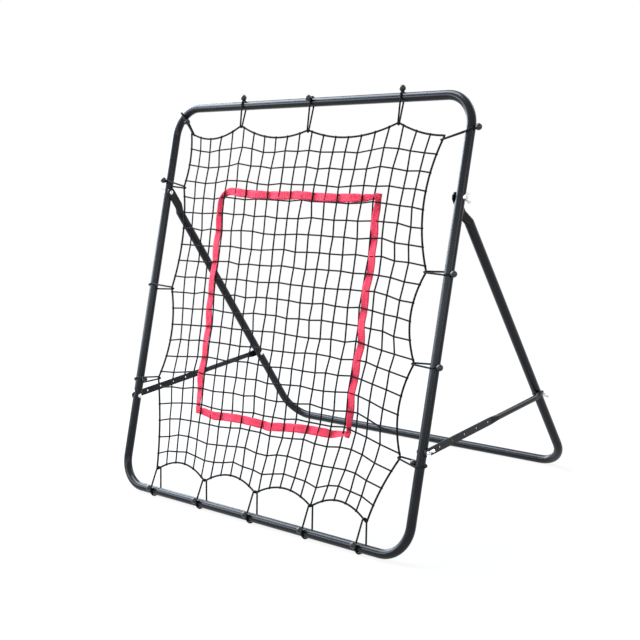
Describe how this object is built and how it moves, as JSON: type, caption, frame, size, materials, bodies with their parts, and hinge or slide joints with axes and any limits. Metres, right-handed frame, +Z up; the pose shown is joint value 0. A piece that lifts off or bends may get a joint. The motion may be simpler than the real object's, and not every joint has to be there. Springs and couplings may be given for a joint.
{
  "type": "pitch back rebounder",
  "caption": "Free-standing ball rebound net: square tube frame leaning on a folding rear leg, drilled side struts, mesh on elastic ball loops, target ribbon.",
  "frame": {"origin": "on the ground, under the middle of the whole outline", "axes": "+X across the net to the right as the thrower sees it, +Y away from the thrower towards the rear leg, +Z up"},
  "size_m": [1.1658, 0.8013, 1.1367],
  "materials": {
    "tube": "black satin powder coat",
    "strut_tube": "black satin powder coat",
    "zinc": "bright zinc plate",
    "cast_zinc": "bright cast zinc",
    "net_twine": "black knotless twine",
    "edge_rope": "black braided rope",
    "ribbon": "woven webbing",
    "elastic": "black braided elastic",
    "ball": "moulded, semi-gloss"
  },
  "bodies": {
    "front_frame": {"top_tube": "tube", "bottom_tube": "tube", "side_tube_left": "tube", "side_tube_right": "tube", "pivot_bolts": "zinc", "front_strut_bolts": "zinc", "pivot_nut_left": "cast_zinc", "pivot_nut_right": "cast_zinc", "front_nut_left": "cast_zinc", "front_nut_right": "cast_zinc", "net": "net_twine", "edge_rope": "edge_rope", "target_ribbon": "ribbon", "top_loops": "elastic", "left_loops": "elastic", "right_loops": "elastic", "bottom_loops": "elastic", "top_balls": "ball", "left_balls": "ball", "right_balls": "ball", "bottom_balls": "ball"},
    "rear_leg": {"rear_leg": "tube", "rear_strut_bolts": "zinc", "rear_nut_left": "cast_zinc", "rear_nut_right": "cast_zinc"},
    "strut_left": {"strut_left": "strut_tube"},
    "strut_right": {"strut_right": "strut_tube"}
  },
  "joints": [
    {"name": "leg_fold", "type": "hinge", "parent": "front_frame", "child": "rear_leg", "pos_m": [0, -0.04973, 0.86096], "axis": [-1, 0, 0], "range_deg": [0, 24.6]},
    {"name": "strut_swing_left", "type": "hinge", "parent": "rear_leg", "child": "strut_left", "pos_m": [-0.5607, 0.25802, 0.26469], "axis": [1, 0, 0], "range_deg": [0, 8.36]},
    {"name": "strut_swing_right", "type": "hinge", "parent": "rear_leg", "child": "strut_right", "pos_m": [0.5607, 0.25802, 0.26469], "axis": [1, 0, 0], "range_deg": [0, 8.36]}
  ],
  "couplings": [
    {"joint": "strut_swing_left", "follows": "leg_fold", "ratio": 0.33774},
    {"joint": "strut_swing_right", "follows": "leg_fold", "ratio": 0.33774}
  ]
}
